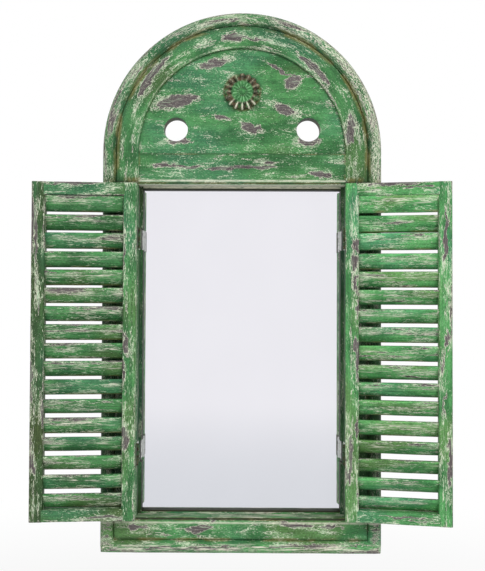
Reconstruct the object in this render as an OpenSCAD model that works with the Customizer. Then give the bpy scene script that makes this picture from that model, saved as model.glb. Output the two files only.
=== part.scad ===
// Arched wall mirror behind a pair of louvred shutters.
// X runs to the right, Y into the wall and Z up. The wall is the plane Y = 0, the foot is at Z = 0
// and the middle of the frame is at X = 0. A depth is measured forward from the wall, so a point at
// depth d lies at Y = -d. All sizes are in millimetres.

/* [Frame] */
// Thickness of the frame timber
frame_t = 26; // [24:0.5:32]
// Width of a stile with its bead
stile_w = 35.4; // [34:0.2:48]
// Width of the raised bead round the frame
bead_w = 14; // [9:0.5:16]
// How far the bead stands above the flat face
bead_rise = 3; // [1:0.25:3.5]
// Clear width between the stiles
recess_w = 203; // [180:0.2:206]
// Clear height between the base rail and the head rail
recess_h = 324; // [300:1:380]
// Height of the base rail
base_h = 35.6; // [30:0.2:60]
// Height of the head rail
head_h = 30.4; // [26:0.2:50]
// How far the half-round opening runs on below the springing line
spring_drop = 3.1; // [0:0.1:6]
// Radial width of the arch crown
crown_w = 35.6; // [30:0.1:42]

/* [Lunette panel] */
// Thickness of the half-round panel
panel_t = 13; // [9:0.5:18]
// How far the panel's face lies behind the face of the frame
panel_setback = 2; // [1:0.25:4]
// How far the panel reaches behind the frame members round it
panel_lap = 4; // [2:0.5:8]
// Diameter of the two pierced holes
hole_d = 23.5; // [12:0.5:30]
// Distance between the centres of the two holes
hole_spacing = 130.4; // [90:0.2:140]
// Height of the hole centres above the springing line
hole_rise = 21.4; // [18:0.1:40]

/* [Rosette] */
// Diameter over the outer petals
rosette_d = 36.4; // [30:0.2:44]
// Height of the outer petals above the panel
rosette_rise = 4.4; // [4:0.1:6]
// Number of petals in each of the two rings
petal_count = 16; // [12:1:24]
// Diameter over the inner petals
inner_ring_d = 21; // [16:0.5:24]
// Diameter of the round boss in the middle
boss_d = 6.6; // [5:0.2:8]
// Height of the rosette's centre above the springing line
rosette_z = 58.2; // [48:0.1:76]

/* [Mirror] */
// Thickness of the mirror glass
glass_t = 3; // [2:0.5:4]
// Thickness of the back board
board_t = 3; // [2:0.5:4]
// Room behind the back board, up to the wall
back_room = 1.5; // [1:0.1:2.5]
// Gap round the glass and the back board in their rebate
glass_gap = 0.4; // [0.2:0.1:1]
// Width of the lip that shows round the mirror
lip_w = 3.2; // [1.5:0.1:8]

/* [Shutters] */
// Thickness of a shutter
shutter_t = 13; // [12:0.5:14]
// Gap between a closed shutter and the lip behind it
stop_gap = 0.5; // [0.3:0.1:1]
// Gap above and below a shutter
end_gap = 0.8; // [0.4:0.1:2]
// Gap between the meeting edges of the closed shutters
meeting_gap = 1.6; // [1.5:0.1:4]
// Width of a shutter's stiles
shutter_stile_w = 13; // [11:0.5:22]
// Height of a shutter's top rail
top_rail_h = 12.6; // [10:0.2:24]
// Height of a shutter's bottom rail
bottom_rail_h = 11.6; // [10:0.2:24]
// Radius of the eased edges of the shutter timber
ease_r = 0.8; // [0.4:0.1:1.5]
// How far the left shutter stands open, in degrees from closed
left_open = 175.5; // [0:0.5:180]
// How far the right shutter stands open, in degrees from closed
right_open = 170.5; // [0:0.5:180]

/* [Louvre slats] */
// Number of slats in a shutter
slat_count = 17; // [8:1:17]
// Width of a slat over its rounded edges
slat_w = 17.5; // [12:0.5:18]
// Thickness of a slat
slat_t = 4; // [2.5:0.25:4.5]
// Lean of a slat from upright, in degrees
slat_tilt = 30; // [20:1:34]
// Gap between the outermost slats and the rails
slat_end_gap = 0.3; // [0.2:0.1:4]
// How deep a slat's end is housed in the stiles
housing_d = 2.5; // [1.5:0.25:4]
// Gap round a slat in its housing
housing_gap = 0.1; // [0.05:0.05:0.3]

/* [Joints] */
// Thickness of the tenons of the frame
tenon_t = 8; // [5:0.5:10]
// Length of the tenons of the frame
tenon_l = 10; // [6:0.5:12]
// Thickness of the tenons of a shutter's rails
rail_tenon_t = 5; // [3:0.5:6]
// Length of the tenons of a shutter's rails
rail_tenon_l = 7; // [4:0.5:8]
// Gap round a tenon in its mortise
joint_gap = 0.1; // [0.05:0.05:0.3]

/* [Hinges] */
// Height of a hinge
hinge_h = 21; // [18:0.5:30]
// Distance from the shutter's top edge to the middle of the upper hinge
upper_hinge_drop = 52; // [30:0.5:90]
// Distance from the shutter's bottom edge to the middle of the lower hinge
lower_hinge_rise = 60.4; // [30:0.2:90]
// Thickness of a hinge leaf
leaf_t = 1; // [0.8:0.05:1.2]
// Width of a hinge leaf from the face of the timber
leaf_w = 11; // [8:0.5:12]
// How far a leaf stands proud of the timber it is let into
leaf_proud = 0.45; // [0.3:0.05:0.6]
// Gap between the two leaves of the closed hinge
leaf_gap = 0.3; // [0.3:0.05:0.6]
// Outer radius of a knuckle
knuckle_r = 2.1; // [1.9:0.05:2.4]
// Gap between a knuckle and what turns past it
knuckle_gap = 0.3; // [0.3:0.05:0.5]
// Radius of the hinge pin
pin_r = 1.1; // [0.8:0.05:1.3]
// Running clearance of the pin, on the radius
pin_fit = 0.05; // [0.02:0.01:0.08]

/* [Fasteners] */
// Radius of a screw's shank
screw_r = 1; // [0.8:0.1:1.3]
// Radius of a screw's countersunk head
screw_head_r = 1.9; // [1.6:0.1:2.3]
// Length of a hinge screw
hinge_screw_l = 9; // [6:0.5:10]
// Length of a hanger screw
hanger_screw_l = 12; // [8:0.5:16]
// Gap round a screw in its hole
screw_gap = 0.05; // [0.02:0.01:0.1]
// Thickness of a glazing point
point_t = 0.6; // [0.4:0.1:0.8]
// Width of a glazing point
point_w = 8; // [5:0.5:12]
// Length of a glazing point, half of it in the timber
point_l = 12; // [8:0.5:16]

/* [Hangers] */
// Width of a hanger plate
hanger_w = 16; // [13:0.5:20]
// Height of a hanger plate
hanger_h = 40; // [36:1:50]
// Thickness of a hanger plate
hanger_t = 1.5; // [1:0.1:2]
// Distance from the springing line down to the middle of a hanger plate
hanger_drop = 27.1; // [24:0.1:60]
// Radius of the round entry of the keyhole
entry_r = 4.5; // [3.5:0.1:5]
// Radius of the narrow end of the keyhole
keyhole_r = 2.25; // [1.8:0.05:2.6]
// Distance from the centre of the entry to the centre of the narrow end
keyhole_travel = 13; // [9:0.5:15]
// Depth of the hollow behind a hanger plate
hollow_d = 10; // [7:0.5:12]

/* [Hidden] */
$fn = 64;
// A cutter reaches this far past the face that it opens
over = 1;

// Frame
half_recess = recess_w / 2;
half_w = half_recess + stile_w;
bead_r = bead_w / 2;
bead_in = half_w - bead_w;
bead_base = frame_t + bead_rise - bead_r;
recess_top = base_h + recess_h;
head_top = recess_top + head_h;
arch_z = head_top + spring_drop;
crown_r = half_w - crown_w;
stile_mid = (half_recess + half_w) / 2;
tenon_d = frame_t / 2;
tenon_margin = 6;
stile_tenon_w = 2 * (half_w - stile_mid - bead_w / 2);

// Panel
panel_gap = 0.3;
panel_front = frame_t - panel_setback;
panel_back = panel_front - panel_t;
seat_r = crown_r + panel_lap;

// Rosette
petal_overlap = 1.1;
petal_taper = 0.55;
petal_share = sin(180 / petal_count) / (1 + sin(180 / petal_count));
ground_t = 1.4;

// Mirror
rebate_d = glass_t + board_t + back_room;
recess_floor = frame_t - shutter_t - stop_gap;
lip_t = recess_floor - rebate_d;
lip_in = half_recess - lip_w;
glass_half = half_recess - glass_gap;
point_gap = 0.05;
point_rows = [1 / 6, 1 / 2, 5 / 6];

// Hinges
hinge_gap = 2 * leaf_proud + leaf_gap;
pin_x = half_recess - hinge_gap / 2;
pin_depth = frame_t + knuckle_r + knuckle_gap;
knuckle_reach = knuckle_r + knuckle_gap;
knuckle_slot = 0.3;
knuckle_h = (hinge_h - 2 * knuckle_slot) / 3;
leaf_screw_inset = 4;
leaf_screw_z = hinge_h / 2 - leaf_screw_inset;
leaf_screw_y = knuckle_reach + leaf_w / 2;
head_h_screw = 0.9;
head_land = 0.05;
notch_depth = lip_w * 0.6;

// Shutters, in a frame whose origin is the hinge pin, with X towards the meeting edge, Y into the
// wall when closed, and Z as in the whole
edge_x = hinge_gap / 2;
shutter_w = (recess_w - 2 * hinge_gap - meeting_gap) / 2;
shutter_bottom = base_h + end_gap;
shutter_top = recess_top - end_gap;
outer_y = knuckle_reach;
inner_y = outer_y + shutter_t;
mid_y = (outer_y + inner_y) / 2;
opening_x = edge_x + shutter_stile_w;
opening_w = shutter_w - 2 * shutter_stile_w;
opening_top = shutter_top - top_rail_h;
opening_h = opening_top - shutter_bottom - bottom_rail_h;
slat_rise = (slat_w - slat_t) * cos(slat_tilt) + slat_t;
slat_pitch = (opening_h - 2 * slat_end_gap - slat_rise) / (slat_count - 1);
housing_end = 0.1;
rail_tenon_margin = 2.4;
hinge_rows = [shutter_top - upper_hinge_drop, shutter_bottom + lower_hinge_rise];

// Hangers
hanger_z = arch_z - hanger_drop;
hanger_screw_inset = 4;
hanger_screw_drop = hanger_h / 2 - hanger_screw_inset;
hollow_gap = 0.8;
plate_gap = 0.1;

// Paint and metal as they show
paint = [0.33, 0.58, 0.36];
shutter_paint = [0.29, 0.52, 0.33];
worn_paint = [0.62, 0.62, 0.48];
brass = [0.45, 0.40, 0.30];
steel = [0.62, 0.63, 0.64];
hardboard = [0.45, 0.32, 0.20];
silvering = [0.88, 0.89, 0.91];

function two_digits(n) = n < 10 ? str("0", n) : str(n);
function slat_name(side, n) = str(side, "_slat_", two_digits(n));
function slat_z(n) = opening_top - slat_end_gap - slat_rise / 2 - (n - 1) * slat_pitch;

// ---- Helpers ----

// A block between two widths, two depths and two heights
module block(x0, x1, d0, d1, z0, z1) {
    translate([x0, -d1, z0]) cube([x1 - x0, d1 - d0, z1 - z0]);
}

// A round bar along Y between two depths
module bar_y(r, x, z, d0, d1) {
    translate([x, -d0, z]) rotate([90, 0, 0]) cylinder(h = d1 - d0, r = r);
}

module both_sides() {
    children();
    mirror([1, 0, 0]) children();
}

// A rectangle with its four corners rounded
module eased_rect(w, h, r) {
    translate([r, 0]) square([w - 2 * r, h]);
    translate([0, r]) square([w, h - 2 * r]);
    for (x = [r, w - r], y = [r, h - r]) translate([x, y]) circle(r = r);
}

// Turns a section drawn in X and Y so that X lies along Y, Y along Z, and its length along X
module along_x(length) {
    rotate([90, 0, 90]) linear_extrude(length) children();
}

// ---- Sections of the frame ----

// The bead in section: distance from the outer edge against depth. Its foot runs into the flat.
module bead_section() {
    square([bead_w + over, bead_base]);
    translate([bead_r, bead_base]) circle(r = bead_r);
}

// The flat band with the bead outside it: distance from the middle against depth
module member_section(inner) {
    translate([inner, 0]) square([bead_in - inner, frame_t]);
    translate([half_w, 0]) mirror([1, 0]) bead_section();
}

// ---- Tenons, each also used to cut its mortise ----

// A stile's tenon, down into the base rail or up into the arch crown
module stile_tenon(z, grow) {
    block(stile_mid - stile_tenon_w / 2 - grow, stile_mid + stile_tenon_w / 2 + grow,
          tenon_d - tenon_t / 2 - grow, tenon_d + tenon_t / 2 + grow,
          z - tenon_l - grow, z + tenon_l + grow);
}

// The head rail's tenon into a stile
module head_tenon(grow) {
    block(half_recess - tenon_l, half_recess + tenon_l + grow,
          tenon_d - tenon_t / 2 - grow, tenon_d + tenon_t / 2 + grow,
          recess_top + tenon_margin - grow, head_top - panel_lap - tenon_margin / 2 + grow);
}

// ---- Glazing points ----

module point_blank(grow) {
    translate([-point_w / 2 - grow, -back_room - grow, -point_l / 2 - grow])
        cube([point_w + 2 * grow, point_t + 2 * grow, point_l + 2 * grow]);
}

// Three points at each stile and two at each rail, half in the timber and half on the board
module all_points(grow) {
    for (row = point_rows, side = [-1, 1])
        translate([side * half_recess, 0, base_h + row * recess_h]) rotate([0, 90, 0]) point_blank(grow);
    for (z = [base_h, recess_top], side = [-1, 1])
        translate([side * half_recess / 2, 0, z]) point_blank(grow);
}

// ---- Screws, driven along +X from the plane X = 0 ----

module screw(length) {
    difference() {
        union() {
            rotate([0, 90, 0]) cylinder(h = head_h_screw, r1 = screw_head_r, r2 = screw_r);
            rotate([0, 90, 0]) cylinder(h = length, r = screw_r);
        }
        translate([-over, -0.25, -screw_head_r]) cube([over + 0.4, 0.5, 2 * screw_head_r]);
    }
}

// The countersunk hole that a screw needs in a plate
module screw_seat(plate_t) {
    rotate([0, 90, 0]) {
        cylinder(h = head_h_screw, r1 = screw_head_r + head_land, r2 = screw_r + head_land);
        translate([0, 0, -over]) cylinder(h = over, r = screw_head_r + head_land);
        cylinder(h = plate_t + over, r = screw_r + head_land);
    }
}

// The pilot hole in the timber
module pilot(length) {
    rotate([0, 90, 0]) cylinder(h = length + screw_gap, r = screw_r + screw_gap);
}

// ---- Hinges, with the pin on the Z axis and the shutter's side at +X ----

module knuckle(level) {
    translate([0, 0, -hinge_h / 2 + level * (knuckle_h + knuckle_slot)]) children();
}

// A leaf on the +X side of the pin with the knuckles at the given levels
module hinge_leaf(levels) {
    difference() {
        union() {
            translate([leaf_gap / 2, knuckle_reach, -hinge_h / 2]) cube([leaf_t, leaf_w, hinge_h]);
            for (level = levels) knuckle(level) {
                cylinder(h = knuckle_h, r = knuckle_r);
                translate([leaf_gap / 2, 0, 0]) cube([leaf_t, knuckle_reach, knuckle_h]);
            }
        }
        translate([0, 0, -hinge_h]) cylinder(h = 2 * hinge_h, r = pin_r + pin_fit);
        for (z = [-leaf_screw_z, leaf_screw_z])
            translate([leaf_gap / 2, leaf_screw_y, z]) screw_seat(leaf_t);
    }
}

// The shallow mortise that a leaf is let into
module leaf_mortise() {
    translate([edge_x - over, outer_y - over, -hinge_h / 2 - joint_gap])
        cube([over + leaf_t - leaf_proud, over + leaf_w + joint_gap, hinge_h + 2 * joint_gap]);
}

module leaf_screws(length) {
    for (z = [-leaf_screw_z, leaf_screw_z]) translate([leaf_gap / 2, leaf_screw_y, z]) screw(length);
}

module leaf_pilots(length) {
    for (z = [-leaf_screw_z, leaf_screw_z]) translate([leaf_gap / 2, leaf_screw_y, z]) pilot(length);
}

// Places at each hinge of the left side, closed, with +X towards the middle of the mirror
module at_left_hinges() {
    for (z = hinge_rows) translate([-pin_x, -pin_depth, z]) children();
}

// The same with +X towards the left stile
module at_left_hinges_outward() {
    at_left_hinges() mirror([1, 0, 0]) children();
}

// ---- Frame ----

module arch_crown() color(paint) {
    difference() {
        translate([0, 0, arch_z]) rotate([90, 0, 0]) rotate_extrude(angle = 180) member_section(crown_r);
        bar_y(seat_r, 0, arch_z, -over, panel_front);
        both_sides() stile_tenon(arch_z, joint_gap);
    }
}

// The glazing lip of a stile, notched where the hinges were let in
module stile_lip() {
    difference() {
        block(-half_recess - over, -lip_in, rebate_d, rebate_d + lip_t, base_h, recess_top);
        for (z = hinge_rows)
            block(-lip_in - notch_depth, -lip_in + over, rebate_d - over, recess_floor + over,
                  z - hinge_h / 2 - joint_gap, z + hinge_h / 2 + joint_gap);
    }
}

module left_stile() color(paint) {
    difference() {
        union() {
            mirror([1, 0, 0]) mirror([0, 1, 0]) translate([0, 0, base_h])
                linear_extrude(arch_z - base_h) member_section(half_recess);
            stile_lip();
            mirror([1, 0, 0]) stile_tenon(base_h, 0);
            mirror([1, 0, 0]) stile_tenon(arch_z, 0);
        }
        mirror([1, 0, 0]) head_tenon(joint_gap);
        all_points(point_gap);
        at_left_hinges_outward() leaf_mortise();
        at_left_hinges_outward() leaf_pilots(hinge_screw_l);
        mirror([1, 0, 0]) hanger_pocket();
    }
}

module right_stile() {
    mirror([1, 0, 0]) left_stile();
}

module head_rail() color(paint) {
    difference() {
        union() {
            block(-half_recess, half_recess, 0, frame_t, recess_top, head_top);
            block(-lip_in, lip_in, rebate_d, rebate_d + lip_t, recess_top - lip_w, recess_top + over);
            both_sides() head_tenon(0);
        }
        block(-half_recess, half_recess, -over, panel_front, head_top - panel_lap, head_top + over);
        all_points(point_gap);
    }
}

// The bead along the foot, from the middle to a given half length
module foot_bead(half_length) {
    translate([-half_length, 0, 0]) along_x(2 * half_length) rotate(90) bead_section();
}

// The upright bead at the right end of the base rail
module end_bead(z0, z1) {
    mirror([0, 1, 0]) translate([half_w, 0, z0]) linear_extrude(z1 - z0) mirror([1, 0]) bead_section();
}

module base_rail() color(paint) {
    difference() {
        union() {
            block(-bead_in, bead_in, 0, frame_t, bead_w, base_h);
            block(-lip_in, lip_in, rebate_d, rebate_d + lip_t, base_h - over, base_h + lip_w);
            foot_bead(bead_in);
            both_sides() end_bead(bead_w, base_h);
            both_sides() intersection() {
                foot_bead(half_w);
                end_bead(0, bead_w);
            }
        }
        both_sides() stile_tenon(base_h, joint_gap);
        all_points(point_gap);
    }
}

module lunette_panel() color(paint) {
    difference() {
        union() {
            intersection() {
                bar_y(seat_r - panel_gap, 0, arch_z, panel_back, panel_front);
                block(-seat_r, seat_r, panel_back, panel_front, arch_z + panel_gap, arch_z + seat_r);
            }
            block(panel_gap - half_recess, half_recess - panel_gap, panel_back, panel_front,
                  head_top - panel_lap + panel_gap, arch_z + panel_gap);
        }
        for (side = [-1, 1])
            bar_y(hole_d / 2, side * hole_spacing / 2, arch_z + hole_rise, panel_back - over, panel_front + over);
    }
}

// One petal of a ring, lying along X, wider and higher towards its round end
module petal(root_x, ring_r, top) {
    end_r = petal_overlap * petal_share * ring_r;
    end_x = ring_r - end_r;
    translate([root_x, 0, top - end_r]) rotate([0, 90, 0])
        cylinder(h = end_x - root_x, r1 = end_r * petal_taper, r2 = end_r);
    translate([end_x, 0, top - end_r]) sphere(r = end_r);
}

// A ring of petals; turned by half a petal where it lies on another ring
module petal_ring(root_x, ring_r, top, turn) {
    for (i = [0:petal_count - 1]) rotate((i + turn) * 360 / petal_count) petal(root_x, ring_r, top);
}

module rosette() color(worn_paint) {
    outer_r = rosette_d / 2;
    inner_r = inner_ring_d / 2;
    boss_r = boss_d / 2;
    translate([0, -panel_front, arch_z + rosette_z]) rotate([90, 0, 0]) intersection() {
        union() {
            cylinder(h = ground_t, r = outer_r * (1 - petal_share));
            petal_ring(inner_r * (1 - petal_share), outer_r, rosette_rise, 0);
            petal_ring(boss_r / 2, inner_r, rosette_rise * 0.8, 0.5);
            translate([0, 0, ground_t]) sphere(r = boss_r);
        }
        cylinder(h = rosette_d, r = rosette_d);
    }
}

module mirror_glass() color(silvering) {
    block(-glass_half, glass_half, rebate_d - glass_t, rebate_d, base_h + glass_gap, recess_top - glass_gap);
}

module back_board() color(hardboard) {
    block(-glass_half, glass_half, back_room, back_room + board_t,
          base_h + glass_gap, recess_top - glass_gap);
}

module glazing_points() color(steel) {
    all_points(0);
}

// ---- Hangers ----

module keyhole(r_entry, r_end, d0, d1) {
    bar_y(r_entry, 0, 0, d0, d1);
    bar_y(r_end, 0, keyhole_travel, d0, d1);
    block(-r_end, r_end, d0, d1, 0, keyhole_travel);
}

// Places at the middle of the right hanger plate
module at_hanger() {
    translate([stile_mid, 0, hanger_z]) children();
}

module at_hanger_screws() {
    for (side = [-1, 1]) translate([0, 0, side * hanger_screw_drop]) rotate([0, 0, -90]) children();
}

module hanger_plate() {
    at_hanger() difference() {
        block(-hanger_w / 2, hanger_w / 2, 0, hanger_t, -hanger_h / 2, hanger_h / 2);
        translate([0, 0, -keyhole_travel / 2]) keyhole(entry_r, keyhole_r, -over, hanger_t + over);
        at_hanger_screws() screw_seat(hanger_t);
    }
}

// The pocket for the plate, the hollow behind its keyhole and the pilot holes
module hanger_pocket() {
    at_hanger() {
        block(-hanger_w / 2 - plate_gap, hanger_w / 2 + plate_gap, -over, hanger_t,
              -hanger_h / 2 - plate_gap, hanger_h / 2 + plate_gap);
        translate([0, 0, -keyhole_travel / 2])
            keyhole(entry_r + hollow_gap, entry_r + hollow_gap, 0, hanger_t + hollow_d);
        at_hanger_screws() pilot(hanger_screw_l);
    }
}

module hanger_plates() color(steel) {
    both_sides() hanger_plate();
}

module frame_screws() color(steel) {
    both_sides() {
        at_left_hinges_outward() leaf_screws(hinge_screw_l);
        at_hanger() at_hanger_screws() screw(hanger_screw_l);
    }
}

module frame_hinge_leaves() color(brass) {
    both_sides() at_left_hinges_outward() hinge_leaf([0, 2]);
}

module hinge_pins() color(brass) {
    both_sides() at_left_hinges() translate([0, 0, -hinge_h / 2]) cylinder(h = hinge_h, r = pin_r);
}

// ---- Shutters ----

// Stands the left shutter open about its hinge pin
module swing_left() {
    translate([-pin_x, -pin_depth, 0]) rotate([0, 0, -left_open]) children();
}

// The right shutter is the left one's mirror image, open by its own angle
module swing_right() {
    mirror([1, 0, 0]) translate([-pin_x, -pin_depth, 0]) rotate([0, 0, -right_open]) children();
}

// A slat in section, leaning so that its upper edge is at the inner face
module slat_section(grow) {
    rotate(-slat_tilt) {
        square([slat_t + 2 * grow, slat_w - slat_t], center = true);
        for (side = [-1, 1])
            translate([0, side * (slat_w - slat_t) / 2]) circle(r = slat_t / 2 + grow);
    }
}

module slat(n) color(shutter_paint) {
    translate([opening_x - housing_d + housing_end, mid_y, slat_z(n)])
        along_x(opening_w + 2 * (housing_d - housing_end)) slat_section(0);
}

// The housings of all slats, cut into both stiles at once
module slat_housings() {
    for (n = [1:slat_count])
        translate([opening_x - housing_d, mid_y, slat_z(n)])
            along_x(opening_w + 2 * housing_d) slat_section(housing_gap);
}

// The tenons of a rail of height h, both at once
module rail_tenons(z, h, grow) {
    translate([opening_x - rail_tenon_l - grow, mid_y - rail_tenon_t / 2 - grow, z + rail_tenon_margin - grow])
        cube([opening_w + 2 * (rail_tenon_l + grow), rail_tenon_t + 2 * grow,
              h - 2 * (rail_tenon_margin - grow)]);
}

module shutter_stile(x) {
    difference() {
        translate([x, outer_y, shutter_bottom])
            linear_extrude(shutter_top - shutter_bottom) eased_rect(shutter_stile_w, shutter_t, ease_r);
        slat_housings();
        rail_tenons(opening_top, top_rail_h, joint_gap);
        rail_tenons(shutter_bottom, bottom_rail_h, joint_gap);
    }
}

module shutter_rail(z, h) color(shutter_paint) {
    translate([opening_x, outer_y, z]) along_x(opening_w) eased_rect(shutter_t, h, ease_r);
    rail_tenons(z, h, 0);
}

module hinge_stile() color(shutter_paint) {
    difference() {
        shutter_stile(edge_x);
        for (z = hinge_rows) translate([0, 0, z]) {
            leaf_mortise();
            leaf_pilots(hinge_screw_l);
        }
    }
}

module meeting_stile() color(shutter_paint) {
    shutter_stile(opening_x + opening_w);
}

module top_rail() {
    shutter_rail(opening_top, top_rail_h);
}

module bottom_rail() {
    shutter_rail(shutter_bottom, bottom_rail_h);
}

module shutter_leaves() color(brass) {
    for (z = hinge_rows) translate([0, 0, z]) hinge_leaf([1]);
}

module shutter_screws() color(steel) {
    for (z = hinge_rows) translate([0, 0, z]) leaf_screws(hinge_screw_l);
}

// ---- The assembly ----

SIDES = ["left", "right"];
SHUTTER_PIECES = ["hinge_stile", "meeting_stile", "top_rail", "bottom_rail", "hinge_leaves", "hinge_screws"];

arch_crown();
left_stile();
right_stile();
head_rail();
base_rail();
lunette_panel();
rosette();
mirror_glass();
back_board();
glazing_points();
hanger_plates();
frame_screws();
frame_hinge_leaves();
hinge_pins();

swing_left() hinge_stile();  // left_hinge_stile
swing_left() meeting_stile();  // left_meeting_stile
swing_left() top_rail();  // left_top_rail
swing_left() bottom_rail();  // left_bottom_rail
swing_left() shutter_leaves();  // left_hinge_leaves
swing_left() shutter_screws();  // left_hinge_screws

swing_right() hinge_stile();  // right_hinge_stile
swing_right() meeting_stile();  // right_meeting_stile
swing_right() top_rail();  // right_top_rail
swing_right() bottom_rail();  // right_bottom_rail
swing_right() shutter_leaves();  // right_hinge_leaves
swing_right() shutter_screws();  // right_hinge_screws

for (n = [1:slat_count]) {
    swing_left() slat(n);
    swing_right() slat(n);
}
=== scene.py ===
"""An arched wall mirror behind two louvred shutters, in green paint worn to primer and timber."""

import math

import bmesh
import bpy
from mathutils import Matrix, Vector, noise


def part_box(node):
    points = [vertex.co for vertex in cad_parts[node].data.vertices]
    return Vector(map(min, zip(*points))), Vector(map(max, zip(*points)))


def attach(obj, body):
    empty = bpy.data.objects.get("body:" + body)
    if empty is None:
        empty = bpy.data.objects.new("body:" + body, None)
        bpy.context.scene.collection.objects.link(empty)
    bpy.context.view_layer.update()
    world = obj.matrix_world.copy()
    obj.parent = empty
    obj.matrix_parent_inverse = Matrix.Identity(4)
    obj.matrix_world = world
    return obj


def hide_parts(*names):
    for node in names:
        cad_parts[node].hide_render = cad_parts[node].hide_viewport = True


bl_info = {
    "name": "Shutter Mirror",
    "version": (1, 0, 0),
    "blender": (4, 5, 0),
    "location": "3D View > Sidebar > Mirror",
    "description": "Dresses an arched shutter mirror in worn paint, aged brass and silvered glass",
    "category": "Object",
}

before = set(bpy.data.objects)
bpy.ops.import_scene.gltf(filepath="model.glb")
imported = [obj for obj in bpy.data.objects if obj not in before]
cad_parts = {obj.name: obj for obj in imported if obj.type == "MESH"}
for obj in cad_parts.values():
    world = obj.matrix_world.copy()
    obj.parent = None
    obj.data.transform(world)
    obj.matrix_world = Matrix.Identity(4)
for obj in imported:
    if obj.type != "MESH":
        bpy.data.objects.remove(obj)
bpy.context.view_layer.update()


def span(node):
    """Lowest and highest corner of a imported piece, in millimetres."""
    low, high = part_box(node)
    return low * 1000, high * 1000


def middle_z(node):
    """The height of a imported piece's middle, in millimetres."""
    return sum(corner.z for corner in span(node)) / 2


# Sizes of the frame in millimetres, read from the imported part; the rest follow its timber.
# A depth is measured from the back of the frame towards its front.
GLASS_PLAY = 0.4
SPRING_Z = span("arch_crown")[0].z
OUTER_R = span("arch_crown")[1].x
BEAD_W = 14.0
BEAD_IN = OUTER_R - BEAD_W
CROWN_IN = OUTER_R - 35.6
FACE_D = 26.0
CREST_D = 29.0
RECESS_X = span("mirror_glass")[1].x + GLASS_PLAY
RECESS_LOW = span("mirror_glass")[0].z - GLASS_PLAY
RECESS_HIGH = span("mirror_glass")[1].z + GLASS_PLAY
LIP_X = RECESS_X - 3.2
LIP_D = (7.5, 12.5)
PANEL_LOW = span("head_rail")[1].z
PANEL_D = 23.6
HOLE_X = 65.2
HOLE_Z = SPRING_Z + 21.4
HOLE_R = 11.75
ROSETTE_Z = SPRING_Z + 58.2
ROSETTE_R = 18.2
PETALS = 16

# The shutters in millimetres, as they stand closed: X from the hinge pin towards the meeting edge,
# Y from the pin towards the wall. OPEN is how far they rest open, in degrees.
PIN_X = span("hinge_pins")[1].x - 1.1
PIN_Y = -28.4
OPEN = {"left": 175.5, "right": 170.5}
SHUTTER_X = (0.6, RECESS_X - 1.4)
SHUTTER_Y = (2.4, 15.4)
SHUTTER_Z = (span("left_bottom_rail")[0].z, span("left_top_rail")[1].z)
OPENING_Z = (span("left_bottom_rail")[1].z, span("left_top_rail")[0].z)
STILE_W = 13.0
RAIL_TENON = 1.4
SLATS = 17
SLAT_W = 17.5
SLAT_T = 4.0
SLAT_TENON = 2.3
SLAT_TOP = middle_z("left_slat_01")
PITCH = (SLAT_TOP - middle_z(f"left_slat_{SLATS:02d}")) / (SLATS - 1)


def tint(red, green, blue):
    """A colour as a paint chart gives it, 0 to 255, turned into linear light."""
    return tuple(
        (c / 12.92 if c <= 0.04045 else ((c + 0.055) / 1.055) ** 2.4)
        for c in (red / 255, green / 255, blue / 255)
    )


# ---- Settings ----


def colour_property(name, words, colour):
    return bpy.props.FloatVectorProperty(
        name=name, description=words, subtype="COLOR", size=3, min=0, max=1, default=tint(*colour)
    )


class MirrorPaint(bpy.types.PropertyGroup):
    """The colours and the wear of the paint."""

    green: colour_property("Green", "The paint where it is fresh", (80, 146, 84))
    deep_green: colour_property("Deep green", "The paint where it lies thick", (50, 108, 58))
    teal: colour_property("Teal", "The bluish patches of the paint", (70, 134, 106))
    olive: colour_property("Olive", "The yellowed paint near edges", (90, 112, 58))
    fleck: colour_property("Flecks", "Dry-brushed flecks over the paint", (188, 218, 180))
    primer: colour_property("Primer", "The cream primer under the paint", (228, 226, 206))
    timber: colour_property("Timber", "The bare timber", (108, 102, 101))
    dark_timber: colour_property("Dark timber", "The grain of the bare timber", (70, 62, 63))
    # This colour also paints the near-black shadow of the darkest corners
    grime_and_shadow: colour_property("Grime", "What lies in the corners", (36, 42, 22))
    ochre: colour_property("Ochre", "Yellow glaze in the quirks", (120, 108, 56))
    wear: bpy.props.FloatProperty(
        name="Wear",
        description="How much of the paint has gone",
        default=0.5,
        min=0,
        max=1,
        subtype="FACTOR",
    )
    arris: bpy.props.FloatProperty(
        name="Arris",
        description="Rounding of the timber's edges",
        default=0.0007,
        min=0,
        max=0.002,
        unit="LENGTH",
        subtype="DISTANCE",
    )


class MirrorMetal(bpy.types.PropertyGroup):
    """The colours of the metal, the glass and the board."""

    brass: colour_property("Brass", "The hinges where they are dull", (104, 98, 72))
    # Near white where the leaves face the mirror: their shine with a painted reflection of the pale
    # room
    bright_metal_and_reflection: colour_property(
        "Bright brass", "The hinges where they face the mirror", (250, 252, 244)
    )
    steel: colour_property("Steel", "Screws, hangers and glazing points", (168, 170, 172))
    glass: colour_property("Mirror", "What the silvering gives back", (246, 246, 250))
    board: colour_property("Back board", "The raw hardboard", (124, 92, 62))


class MirrorStudio(bpy.types.PropertyGroup):
    """The floor, the light and the camera."""

    drop: bpy.props.FloatProperty(
        name="Floor drop",
        description="How far the floor lies under the mirror",
        default=0.3,
        min=0.05,
        max=2,
        unit="LENGTH",
        subtype="DISTANCE",
    )
    ambient: bpy.props.FloatProperty(
        name="Ambient", description="Light from all round", default=0.62, min=0, max=2
    )
    key: bpy.props.FloatProperty(
        name="Key light",
        description="Power of the soft light above the camera, in watts",
        default=22,
        min=0,
        max=500,
    )
    lens: bpy.props.FloatProperty(
        name="Lens",
        description="Focal length on a 36 mm frame",
        default=48.394,
        min=10,
        max=200,
        unit="CAMERA",
    )


# ---- Shader nodes ----


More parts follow.
